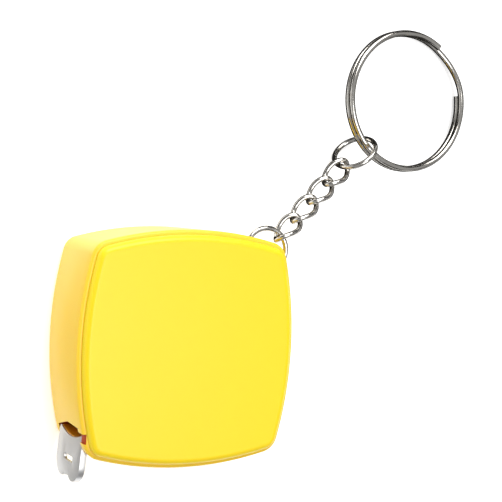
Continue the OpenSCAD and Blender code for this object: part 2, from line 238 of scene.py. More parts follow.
class Finish:
    """A material with one Principled shader, whose constants are set on its own sockets."""

    def __init__(self, name, constants):
        self.material = bpy.data.materials.new(name)
        self.material.use_nodes = True
        self.tree = self.material.node_tree
        self.tree.nodes.clear()
        self.shader = self.node("ShaderNodeBsdfPrincipled", {}, {})
        output = self.node("ShaderNodeOutputMaterial", {}, {})
        self.tree.links.new(self.shader.outputs[0], output.inputs["Surface"])
        for socket, value in constants.items():
            self.put(self.shader.inputs[socket], value)

    def node(self, kind, settings, values):
        """Adds a node: its settings first, then the values or links of its sockets."""
        node = self.tree.nodes.new(kind)
        for key, value in settings.items():
            setattr(node, key, value)
        pairs = enumerate(values) if isinstance(values, list) else values.items()
        for key, value in pairs:
            self.put(node.inputs[key], value)
        return node

    def put(self, socket, value):
        """Links a socket to another, or sets its value."""
        if isinstance(value, Value):
            value = value.socket
        if isinstance(value, bpy.types.NodeSocket):
            self.tree.links.new(value, socket)
        elif socket.type == "RGBA":
            socket.default_value = (*value, 1) if len(value) == 3 else value
        else:
            socket.default_value = value

    def place(self, scale=(1, 1, 1)):
        """Object coordinates, in metres, scaled along each axis."""
        coords = self.node("ShaderNodeTexCoord", {}, {})
        mapping = self.node("ShaderNodeMapping", {}, {"Vector": coords.outputs["Object"], "Scale": scale})
        return mapping.outputs[0]

    def noise(self, where, scale, detail=3.0, rough=0.5):
        values = {"Vector": where, "Scale": scale, "Detail": detail, "Roughness": rough}
        return Value(self, self.node("ShaderNodeTexNoise", {}, values).outputs[0])

    def attribute(self, name):
        settings = {"attribute_type": "GEOMETRY", "attribute_name": name}
        node = self.node("ShaderNodeAttribute", settings, {})
        return Value(self, node.outputs["Fac"])

    def mix(self, factor, first, second):
        """A colour between two, by a factor from 0 to 1."""
        node = self.node("ShaderNodeMix", {"data_type": "RGBA"}, {"Factor": factor})
        self.put(node.inputs[6], first)
        self.put(node.inputs[7], second)
        return node.outputs[2]

    def colour(self, value):
        self.put(self.shader.inputs["Base Color"], value)

    def roughness(self, value):
        self.put(self.shader.inputs["Roughness"], value)

    def relief(self, height, distance, strength=1.0):
        """A bump of that height map, in metres, into the shader's normal."""
        values = {"Strength": strength, "Distance": distance, "Height": height}
        bump = self.node("ShaderNodeBump", {}, values)
        self.put(self.shader.inputs["Normal"], bump.outputs[0])


def shade(tint, factor):
    """A colour made lighter or darker."""
    return tuple(min(1.0, channel * factor) for channel in tint)


def moulded_plastic(name, tint, deep):
    """Glossy pigmented plastic: faint flow clouds, a fine moulded skin, and depth under it."""
    finish = Finish(
        name,
        {"Metallic": 0.0, "IOR": 1.49, "Specular IOR Level": 0.38, "Subsurface Weight": 0.22,
         "Subsurface Radius": (2.2, 1.0, 0.2), "Subsurface Scale": 0.001},
    )
    where = finish.place()
    clouds = finish.noise(where, 90, 2)
    skin = finish.noise(where, 5200, 2)
    waves = finish.noise(where, 420, 1)
    finish.colour(finish.mix((clouds - 0.35) * 0.5, tint, deep))
    finish.roughness(0.26 + 0.10 * skin + 0.06 * clouds)
    finish.relief(0.25 * skin + waves, 0.000012, 0.35)
    return finish.material


def hollow_shade_plastic(tint):
    """The same plastic in the mouth and the slots, where light has passed through it, painted darker and
    redder as shade.
    """
    finish = Finish("hollow_shade_plastic", {"Metallic": 0.0, "IOR": 1.49, "Specular IOR Level": 0.12})
    where = finish.place()
    clouds = finish.noise(where, 260, 2)
    finish.colour(finish.mix(clouds, shade(tint, 0.75), shade(tint, 1.5)))
    finish.roughness(0.42 + 0.12 * clouds)
    finish.relief(finish.noise(where, 2600, 2), 0.00001, 0.3)
    return finish.material


def nickel_plate(tint):
    """Bright nickel on drawn wire, with fine rubbing marks and slight unevenness."""
    finish = Finish("nickel_plate", {"Metallic": 1.0})
    where = finish.place()
    marks = finish.noise(finish.place(scale=(1, 1, 5)), 3800, 3, 0.6)
    uneven = finish.noise(where, 520, 2)
    stain = finish.noise(where, 1300, 3, 0.65)
    finish.colour(finish.mix(stain.math("MINIMUM", 0.75), shade(tint, 1.12), (0.50, 0.47, 0.42)))
    finish.roughness(0.09 + 0.12 * marks * stain + 0.05 * uneven)
    finish.relief(0.2 * marks + uneven, 0.00005, 0.5)
    return finish.material


def rolled_steel(name, tint, rough=0.30, grain=(1, 1, 1)):
    """Pressed sheet steel: fine grain along the sheet, small dents and a satin face."""
    finish = Finish(name, {"Metallic": 1.0})
    streaks = finish.noise(finish.place(scale=grain), 2600, 4, 0.6)
    cloud = finish.noise(finish.place(), 240, 3)
    finish.colour(finish.mix(cloud, shade(tint, 0.9), shade(tint, 1.15)))
    finish.roughness(rough + 0.14 * streaks + 0.08 * cloud)
    finish.relief(streaks + 0.6 * cloud, 0.00002, 0.5)
    return finish.material


def reel_plastic():
    """Dull black moulding with turned rings."""
    finish = Finish("reel_plastic", {"Metallic": 0.0})
    where = finish.place()
    rings = finish.node(
        "ShaderNodeTexWave",
        {"wave_type": "RINGS", "rings_direction": "Z"},
        {"Vector": where, "Scale": 260.0, "Distortion": 0.4, "Detail": 1.0},
    )
    rings = Value(finish, rings.outputs["Fac"])
    dust = finish.noise(where, 900, 3)
    finish.colour(finish.mix(dust, (0.018, 0.018, 0.02), (0.045, 0.045, 0.048)))
    finish.roughness(0.46 + 0.14 * dust)
    finish.relief(rings + 0.4 * dust, 0.00002, 0.5)
    return finish.material


def wound_edge(tint):
    """The wound tape: fine turns seen on its faces, paint on its outside."""
    finish = Finish("wound_tape", {"Metallic": 0.0})
    where = finish.place()
    turns = finish.node(
        "ShaderNodeTexWave",
        {"wave_type": "RINGS", "rings_direction": "Z", "wave_profile": "SAW"},
        {"Vector": where, "Scale": 1100.0, "Distortion": 0.0},
    )
    turns = Value(finish, turns.outputs["Fac"])
    finish.colour(finish.mix(turns, shade(tint, 0.35), tint))
    finish.roughness(0.36 + 0.2 * turns)
    finish.relief(turns, 0.00004, 0.6)
    return finish.material


def seven_bars(digit, across, down, wide, tall, thick):
    """Mask of a digit drawn with seven bars, in a box centred at (across, down) = (0, 0)."""
    lit = {
        "top": "1011011111", "upper_left": "1000111011", "upper_right": "1111100111",
        "middle": "0011111011", "lower_left": "1010001010", "lower_right": "1101111111",
        "bottom": "1011011011",
    }
    spots = {
        "top": (0, tall, 1), "middle": (0, 0, 1), "bottom": (0, -tall, 1),
        "upper_left": (-wide, tall / 2, 0), "upper_right": (wide, tall / 2, 0),
        "lower_left": (-wide, -tall / 2, 0), "lower_right": (wide, -tall / 2, 0),
    }
    mask = None
    for bar, (x, y, flat) in spots.items():
        half_x, half_y = (wide + thick, thick) if flat else (thick, tall / 2 + thick)
        inside = ((across - x).math("ABSOLUTE") < half_x) * ((down - y).math("ABSOLUTE") < half_y)
        on = None
        for number, state in enumerate(lit[bar]):
            if state == "0":
                off = (digit - number).math("ABSOLUTE") > 0.5
                on = off if on is None else on * off
        inside = inside if on is None else inside * on
        mask = inside if mask is None else mask.math("MAXIMUM", inside)
    return mask


def painted_tape(tint):
    """Painted steel tape with millimetre and centimetre marks and numbers, from its own length."""
    finish = Finish("painted_tape", {"Metallic": 0.0, "Coat Weight": 0.3, "Coat Roughness": 0.15})
    along = finish.attribute("tape_mm")
    across = finish.attribute("tape_across")
    face = finish.attribute("tape_face")
    millimetre = (along.math("FRACT") - 0.5).math("ABSOLUTE") > 0.41
    tenth = ((along / 10 + 0.5).math("FRACT") - 0.5).math("ABSOLUTE") < 0.014
    half = ((along / 10).math("FRACT") - 0.5).math("ABSOLUTE") < 0.011
    fine = millimetre * (across > 0.62)
    middle = half * (across > 0.44)
    line = tenth * (across > 0.20)
    whole = (along / 10 + 0.5).math("FLOOR")
    units = whole.math("MODULO", 10.0)
    tens = ((whole - units) / 10 + 0.01).math("FLOOR")
    offset = (along / 10 + 0.5).math("FRACT") * 10 - 5
    level = across * 4.75 + 1.9
    ones = seven_bars(units, 0 - offset - 1.9, level, 0.55, 1.1, 0.14)
    tenths = seven_bars(tens, 0 - offset - 3.6, level, 0.55, 1.1, 0.14) * (tens > 0.5)
    ink = fine.math("MAXIMUM", middle).math("MAXIMUM", line)
    ink = ink.math("MAXIMUM", ones).math("MAXIMUM", tenths) * face
    rub = finish.noise(finish.place(), 700, 3)
    paint = finish.mix(rub, shade(tint, 0.92), shade(tint, 1.08))
    finish.colour(finish.mix(ink, paint, (0.012, 0.012, 0.014)))
    finish.roughness(0.30 + 0.12 * rub)
    finish.relief(rub - 0.5 * ink, 0.00001, 0.4)
    return finish.material


def pale_floor(tint):
    """Seamless pale paper."""
    finish = Finish("pale_floor", {"Metallic": 0.0, "Specular IOR Level": 0.1, "Emission Strength": 0.42,
                                   "Emission Color": (1.0, 1.0, 1.0, 1.0)})
    fibre = finish.noise(finish.place(), 60, 3)
    finish.colour(finish.mix(fibre, shade(tint, 0.995), shade(tint, 1.005)))
    finish.roughness(0.85 + 0.1 * fibre)
    return finish.material


# ---------------------------------------------------------------- meshes


def add_object(name, points, faces, *materials):
    """A mesh object in the scene, at the origin."""
    mesh = bpy.data.meshes.new(name)
    mesh.from_pydata([tuple(point) for point in points], [], faces)
    mesh.validate()
    obj = bpy.data.objects.new(name, mesh)
    bpy.context.scene.collection.objects.link(obj)
    for material in materials:
        mesh.materials.append(material)
    return obj


def settle(obj):
    """Turns the object's evaluated mesh into its plain mesh and removes its modifiers."""
    depsgraph = bpy.context.evaluated_depsgraph_get()
    mesh = bpy.data.meshes.new_from_object(obj.evaluated_get(depsgraph), depsgraph=depsgraph)
    mesh.name = obj.name
    obj.modifiers.clear()
    obj.data = mesh
    return obj


def smooth(obj, angle):
    """Smooth shading with sharp edges above an angle in degrees."""
    obj.data.shade_smooth()
    obj.data.set_sharp_from_angle(angle=math.radians(angle))
    return obj


def cut(target, operation, *tools):
    """Applies exact booleans of the tools to the target, one after the other, and removes them."""
    for tool in tools:
        modifier = target.modifiers.new(tool.name, "BOOLEAN")
        modifier.operation = operation
        modifier.solver = "EXACT"
        modifier.object = tool
        settle(target)
    for tool in tools:
        bpy.data.objects.remove(tool, do_unlink=True)
    return target


def soften(obj, width, segments, angle):
    """A small bevel on sharp edges."""
    modifier = obj.modifiers.new("soften", "BEVEL")
    modifier.width = width
    modifier.segments = segments
    modifier.limit_method = "ANGLE"
    modifier.angle_limit = math.radians(angle)
    modifier.miter_outer = "MITER_ARC"
    modifier.use_clamp_overlap = True
    return settle(obj)


def block(name, low, high, *materials):
    """A box, used as a cutter."""
    points = [(x, y, z) for x in (low[0], high[0]) for y in (low[1], high[1]) for z in (low[2], high[2])]
    faces = [(0, 1, 3, 2), (4, 6, 7, 5), (0, 4, 5, 1), (2, 3, 7, 6), (0, 2, 6, 4), (1, 5, 7, 3)]
    return add_object(name, points, faces, *materials)


def stack(name, rings, *materials):
    """A closed solid through rings of points, from the lowest to the highest."""
    count = len(rings[0])
    points = [point for ring in rings for point in ring]
    faces = [tuple(range(count - 1, -1, -1))]
    for level in range(len(rings) - 1):
        for i in range(count):
            j = (i + 1) % count
            low, high = level * count, (level + 1) * count
            faces.append((low + i, low + j, high + j, high + i))
    faces.append(tuple((len(rings) - 1) * count + i for i in range(count)))
    return add_object(name, points, faces, *materials)


def turned(name, profile, centre, steps, *materials):
    """A solid of revolution about an upright axis, from (radius, height) pairs."""
    rings = [[(centre[0] + r * math.cos(a), centre[1] + r * math.sin(a), centre[2] + z)
              for a in (2 * math.pi * i / steps for i in range(steps))] for r, z in profile]
    return stack(name, rings, *materials)


def ring_cutter(name, centre, inner, outer, low, high, steps, *materials):
    """A flat ring of rectangular section, used as a cutter."""
    points, faces = [], []
    for i in range(steps):
        a = 2 * math.pi * i / steps
        for r, z in ((inner, low), (outer, low), (outer, high), (inner, high)):
            points.append((centre[0] + r * math.cos(a), centre[1] + r * math.sin(a), centre[2] + z))
        for k in range(4):
            j = ((i + 1) % steps) * 4
            faces.append((i * 4 + k, j + k, j + (k + 1) % 4, i * 4 + (k + 1) % 4))
    obj = add_object(name, points, faces, *materials)
    return outward(obj)


def sheet_faces(rows, columns):
    """Faces of a closed sheet whose two skins are grids of points, one after the other."""
    size = rows * columns
    faces = []
    for r in range(rows - 1):
        for c in range(columns - 1):
            i = r * columns + c
            faces.append((i, i + 1, i + columns + 1, i + columns))
            faces.append((size + i, size + i + columns, size + i + columns + 1, size + i + 1))
    rim = [r * columns for r in range(rows)] + [(rows - 1) * columns + c for c in range(1, columns)]
    rim += [r * columns + columns - 1 for r in range(rows - 2, -1, -1)]
    rim += list(range(columns - 2, 0, -1))
    for k, i in enumerate(rim):
        j = rim[(k + 1) % len(rim)]
        faces.append((i, j, size + j, size + i))
    return faces


def outward(obj):
    """Points every face of a closed mesh outwards."""
    work = bmesh.new()
    work.from_mesh(obj.data)
    bmesh.ops.remove_doubles(work, verts=work.verts, dist=1e-8)
    bmesh.ops.recalc_face_normals(work, faces=work.faces)
    work.to_mesh(obj.data)
    work.free()
    return obj


class CaseOutline:
    """The case's outline: bowed sides joined by tangent corner arcs."""

    def __init__(self, settings):
        self.half = settings.width / 2
        self.tall = settings.height / settings.width
        self.side = settings.side_radius
        self.corner = settings.corner_radius
        self.bow = self.half - self.side

    def centre(self, side, corner):
        bow = self.bow
        return (2 * bow + math.sqrt(8 * (side - corner) ** 2 - 4 * bow * bow)) / 4

    def ring(self, inset, z, sides=44, corners=16):
        """Points of the outline at a height, set in from the rim's outside."""
        side = self.side - inset
        corner = max(self.corner - inset, 0.4 * MM)
        c = self.centre(side, corner)
        meet = math.atan2(c, c - self.bow)
        turn = [(self.bow + side * math.cos(a), side * math.sin(a))
                for a in (-meet + 2 * meet * i / sides for i in range(sides))]
        turn += [(c + corner * math.cos(a), c + corner * math.sin(a))
                 for a in (meet + (math.pi / 2 - 2 * meet) * i / corners for i in range(corners))]
        points = []
        for quarter in range(4):
            cs, sn = math.cos(math.pi / 2 * quarter), math.sin(math.pi / 2 * quarter)
            points += [(x * cs - y * sn, self.tall * (x * sn + y * cs), z) for x, y in turn]
        return points


def edge(radius, steps):
    """Offsets across and along of the points of a rounded edge."""
    for i in range(steps + 1):
        a = math.pi / 2 * i / steps
        yield radius * (1 - math.cos(a)), radius * (1 - math.sin(a))


def section_radius(tape):
    """Radius of the tape's curved section."""
    return ((tape.width / 2) ** 2 + tape.sag ** 2) / (2 * tape.sag)


def mouth_sizes(settings):
    """Planes of the mouth at the lower left corner, from the tape and hook where they lie."""
    tape = bpy.context.scene.tape_sizes
    return {
        "left": -settings.width / 2 - BEYOND,
        "recess_x": -settings.width / 2 + 3.8 * MM,
        "relief_x": -settings.width / 2 + 2.1 * MM,
        "relief_h": 1.65 * MM,
        "top": RUN_Y + tape.sag + 1.55 * MM,
        "low": RUN_Y - 1.25 * MM,
        "z0": float(HOOK_LOW[2]) - 0.1 * MM,
        "z1": float(HOOK_HIGH[2]) + 0.1 * MM,
        "drop": 1.45 * MM,
    }


def mouth_slab(name, right, low, mouth):
    """A cutter along X whose top falls towards the rear of the case."""
    section = ((low, mouth["z0"]), (mouth["top"] - mouth["drop"], mouth["z0"]),
               (mouth["top"], TAPE_Z), (mouth["top"], mouth["z1"]), (low, mouth["z1"]))
    rings = [[(x, y, z) for y, z in section] for x in (mouth["left"], right)]
    return outward(stack(name, rings, shaded_hollow()))


def relief_cutter(mouth, low, high):
    """The shallow cut in front of the mouth, between two heights."""
    top = mouth["top"] - 0.6 * MM
    corner = (mouth["left"], top - mouth["relief_h"], low)
    return block("relief", corner, (mouth["relief_x"], top, high), shaded_hollow())


def wire_tree():
    """Node tree that sweeps a round wire along the input path, with its ends closed."""
    tree = bpy.data.node_groups.new("round_wire", "GeometryNodeTree")
    for name, way, kind in (
        ("Geometry", "INPUT", "Geometry"), ("Wire radius", "INPUT", "Float"),
        ("Sides", "INPUT", "Int"), ("Material", "INPUT", "Material"), ("Geometry", "OUTPUT", "Geometry"),
    ):
        tree.interface.new_socket(name, in_out=way, socket_type="NodeSocket" + kind)
    add = tree.nodes.new
    start, end = add("NodeGroupInput"), add("NodeGroupOutput")
    curve = add("GeometryNodeMeshToCurve")
    circle = add("GeometryNodeCurvePrimitiveCircle")
    sweep = add("GeometryNodeCurveToMesh")
    realize = add("GeometryNodeRealizeInstances")
    coat = add("GeometryNodeSetMaterial")
    sweep.inputs["Fill Caps"].default_value = True
    for source, output, target, socket in (
        (start, "Geometry", curve, "Mesh"), (start, "Wire radius", circle, "Radius"),
        (start, "Sides", circle, "Resolution"), (curve, "Curve", sweep, "Curve"),
        (circle, "Curve", sweep, "Profile Curve"), (sweep, "Mesh", realize, "Geometry"),
        (realize, "Geometry", coat, "Geometry"), (start, "Material", coat, "Material"),
        (coat, "Geometry", end, "Geometry"),
    ):
        tree.links.new(source.outputs[output], target.inputs[socket])
    return tree


def wire_piece(name, path, radius, closed):
    """A nickel-plated wire of that radius along the path, as a plain mesh made by the wire tree."""
    count = len(path)
    mesh = bpy.data.meshes.new(name)
    pairs = [(i, (i + 1) % count) for i in range(count if closed else count - 1)]
    mesh.from_pydata([tuple(point) for point in path], pairs, [])
    obj = bpy.data.objects.new(name, mesh)
    bpy.context.scene.collection.objects.link(obj)
    tree = bpy.data.node_groups.get("round_wire") or wire_tree()
    modifier = obj.modifiers.new("wire", "NODES")
    modifier.node_group = tree
    named = {item.name: item.identifier for item in tree.interface.items_tree if item.in_out == "INPUT"}
    modifier[named["Wire radius"]] = radius
    modifier[named["Sides"]] = 20
    modifier[named["Material"]] = nickel()
    settle(obj)
    return smooth(outward(obj), 50)


def chain_frame():
    """The way the chain runs and its turning matrix, from the joints."""
    first = Vector(JOINTS["link_1_swing"]["pos_m"])
    last = Vector(JOINTS["link_4_swing"]["pos_m"])
    along = (last - first).normalized()
    yaw = math.atan2(along.y, along.x)
    fall = -math.asin(along.z)
    return along, Matrix.Rotation(yaw, 3, "Z") @ Matrix.Rotation(fall, 3, "Y")


def finish_material(name, maker, *values):
    """A finish that is made once and then shared."""
    return bpy.data.materials.get(name) or maker(*values)


# The finish of the hollows and their cutters, in painted shade: darker and redder than the case.
def shaded_hollow():
    return finish_material(
        "hollow_shade_plastic", hollow_shade_plastic, tuple(bpy.context.scene.case_sizes.hollow_shade_colour)
    )


def nickel():
    return finish_material(
        "nickel_plate", nickel_plate, tuple(bpy.context.scene.chain_sizes.plate_colour)
    )


def bare_steel():
    tint = tuple(bpy.context.scene.tape_sizes.hook_colour)
    return finish_material("hook_steel", rolled_steel, "hook_steel", tint, 0.27, (1, 5, 1))


def card_finish(name, scale, first, second):
    """A matt finish for a card, between two greys."""
    finish = Finish(name, {"Metallic": 0.0, "Specular IOR Level": 0.0, "Roughness": 1.0})
    finish.colour(finish.mix(finish.noise(finish.place(), scale), first, second))
    return finish.material


def glossy_card(name, corners, material):
    """A card that only glossy rays meet, so that the metal shows its darker streaks."""
    card = add_object(name, corners, [(0, 1, 2, 3)], material)
    card.visible_camera = card.visible_diffuse = False
    card.visible_shadow = card.visible_transmission = False


def coat_node(node, material):
    """Gives a CAD node a new finish."""
    NODES[node].data.materials.clear()
    NODES[node].data.materials.append(material)


# ---------------------------------------------------------------- operators


class PieceOperator(bpy.types.Operator):
    """What the operators that build a piece share."""

    bl_options = {"REGISTER", "UNDO"}


class KEYTAPE_OT_rear_shell(PieceOperator):
    """Moulded rear shell with its mouth, the slot for the lower ring and the screw holes"""

    bl_idname = "keytape.rear_shell"
    bl_label = "Rear Shell"

    def execute(self, context):
        case = context.scene.case_sizes
        shape = CaseOutline(case)
        darker = shade(case.shell_colour, 0.93)
        plastic = moulded_plastic("shell_plastic", tuple(case.shell_colour), darker)
        rings = [shape.ring(case.draft + case.rear_round + 0.05 * MM, 0)]
        for lift, inset in edge(case.rear_round, 14):
            rings.append(shape.ring(case.draft + inset, lift))
        for i in range(1, 8):
            t = i / 8
            low, high = case.rear_round, case.rim - case.rim_round
            rings.append(shape.ring(case.draft * (1 - t), low + (high - low) * t))
        for inset, drop in edge(case.rim_round, 8):
            rings.append(shape.ring(inset, case.rim - drop))
        rings.append(shape.ring(case.rim_round + 0.05 * MM, case.rim))
        shell = stack("case_shell", rings, plastic, shaded_hollow())

        # Inside: a plain cavity less the heel under the mouth, the arbor's boss and the posts
        mouth = mouth_sizes(case)
        inner = case.wall + case.draft
        half = case.width / 2
        cavity = stack(
            "cavity", [shape.ring(inner, z) for z in (case.wall, case.depth + MM)], shaded_hollow()
        )
        heel = block(
            "heel", (-half - MM, -half - 2 * MM, 0),
            (mouth["recess_x"] + case.wall, mouth["top"] + case.wall, case.rim - 1.85 * MM), shaded_hollow(),
        )
        arbor_low, arbor_high = span("spring_arbor")[:2]
        radius = float(arbor_high[0] - arbor_low[0]) / 2
        boss_radius = radius + 1.4 * MM
        boss_high = float(span("reel_drum")[0][2]) - 0.3 * MM
        boss = turned("boss", [(boss_radius, 0), (boss_radius, boss_high)], (0, 0, 0), 64, shaded_hollow())
        post_high = float(COVER_LOW[2]) + 0.2 * MM
        posts = []
        for name in SCREWS:
            mid = span(name)[2]
            profile = [(POST_RADIUS, 0), (POST_RADIUS, post_high)]
            posts.append(turned("post", profile, (mid[0], mid[1], 0), 48, shaded_hollow()))
        cut(cavity, "DIFFERENCE", heel, boss, *posts)
        cut(shell, "DIFFERENCE", cavity)

        deep = mouth_slab("deep", mouth["recess_x"], mouth["left"], mouth)
        throat = mouth_slab("throat", -5 * MM, mouth["low"], mouth)
        relief = relief_cutter(mouth, mouth["z1"] - 0.05 * MM, case.depth + MM)
        jump = context.scene.chain_sizes.jump_radius
        room = context.scene.chain_sizes.wire / 2 + SLOT_ROOM
        slot = ring_cutter("slot", RING_MID, jump - room, jump + room, -room, room, 96, shaded_hollow())
        holes = []
        for name in SCREWS:
            low, high, mid = span(name)
            head = float(high[0] - low[0]) / 2 + 0.15 * MM
            recess = [(head, -MM), (head, low[2] + 1.1 * MM)]
            shank = [(SCREW_HOLE, 0), (SCREW_HOLE, case.depth)]
            holes.append(turned("recess", recess, (mid[0], mid[1], 0), 64, shaded_hollow()))
            holes.append(turned("shank", shank, (mid[0], mid[1], 0), 48, shaded_hollow()))
        radius += 0.05 * MM
        bore = turned("bore", [(radius, 0.7 * MM), (radius, case.depth)], (0, 0, 0), 64, shaded_hollow())
        cut(shell, "DIFFERENCE", deep, throat, relief, slot, bore, *holes)
        soften(shell, 0.12 * MM, 2, 50)
        smooth(shell, 30)
        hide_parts("rear_shell")
        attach(shell, "case")
        return {"FINISHED"}


class KEYTAPE_OT_front_cover(PieceOperator):
    """Raised front cover with its rounded edge and locating skirt"""

    bl_idname = "keytape.front_cover"
    bl_label = "Front Cover"

    def execute(self, context):
        case = context.scene.case_sizes
        shape = CaseOutline(case)
        darker = shade(case.cover_colour, 0.96)
        plastic = moulded_plastic("cover_plastic", tuple(case.cover_colour), darker)
        seat = case.rim + 0.006 * MM
        rings = [shape.ring(case.ledge + 0.1 * MM, seat), shape.ring(case.ledge + 0.04 * MM, seat),
                 shape.ring(case.ledge, seat + 0.04 * MM)]
        for inset, drop in edge(case.panel_round, 16):
            rings.append(shape.ring(case.ledge + inset, case.depth - drop))
        rings.append(shape.ring(case.ledge + case.panel_round + 0.06 * MM, case.depth))
        cover = stack("front_cover_panel", rings, plastic, shaded_hollow())

        # Behind the panel: a skirt inside the shell's wall, the arbor's boss and the posts
        inner = case.wall + case.draft + 0.1 * MM
        base = float(SHELL_HIGH[2]) - SKIRT_HIGH
        skirt = stack("skirt", [shape.ring(inner, z) for z in (base, seat + 0.05 * MM)], shaded_hollow())
        inner += 1.1 * MM
        hole = stack("hole", [shape.ring(inner, z) for z in (base - MM, seat)], shaded_hollow())
        cut(skirt, "DIFFERENCE", hole)
        top = seat + 0.1 * MM
        boss_low = float(span("reel_cap")[1][2]) + 0.3 * MM
        boss = turned("boss", [(3.6 * MM, boss_low), (3.6 * MM, top)], (0, 0, 0), 64, shaded_hollow())
        posts, holes = [], []
        for name in SCREWS:
            mid = span(name)[2]
            post = [(POST_RADIUS, base), (POST_RADIUS, top)]
            pilot = [(SCREW_HOLE, 0), (SCREW_HOLE, case.rim + 0.3 * MM)]
            posts.append(turned("post", post, (mid[0], mid[1], 0), 48, shaded_hollow()))
            holes.append(turned("pilot", pilot, (mid[0], mid[1], 0), 48, shaded_hollow()))
        cut(cover, "UNION", skirt, boss, *posts)
        mouth = mouth_sizes(case)
        relief = relief_cutter(mouth, mouth["z1"], case.depth + MM)
        bore = turned("bore", [(2.25 * MM, 0), (2.25 * MM, case.rim)], (0, 0, 0), 64, shaded_hollow())
        cut(cover, "DIFFERENCE", relief, bore, *holes)
        soften(cover, 0.1 * MM, 2, 50)
        smooth(cover, 30)
        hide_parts("front_cover")
        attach(cover, "case")
        return {"FINISHED"}


class KEYTAPE_OT_reel(PieceOperator):
    """Finishes for the arbor, the reel, the spring, the wound tape and the screws"""

    bl_idname = "keytape.reel"
    bl_label = "Reel and Screws"

    def execute(self, context):
        tape = context.scene.tape_sizes
        black = reel_plastic()
        for node in ("reel_drum", "reel_cap"):
            coat_node(node, black)
        coat_node("mainspring", rolled_steel("spring_steel", (0.20, 0.22, 0.26), 0.3, (1, 1, 6)))
        coat_node("blade_coil", wound_edge(tuple(tape.tape_paint_and_light_colour)))
        zinc = rolled_steel("zinc_steel", (0.50, 0.50, 0.49), 0.25, (4, 1, 1))
        for node in ("spring_arbor", "case_screw_1", "case_screw_2"):
            coat_node(node, zinc)
        return {"FINISHED"}


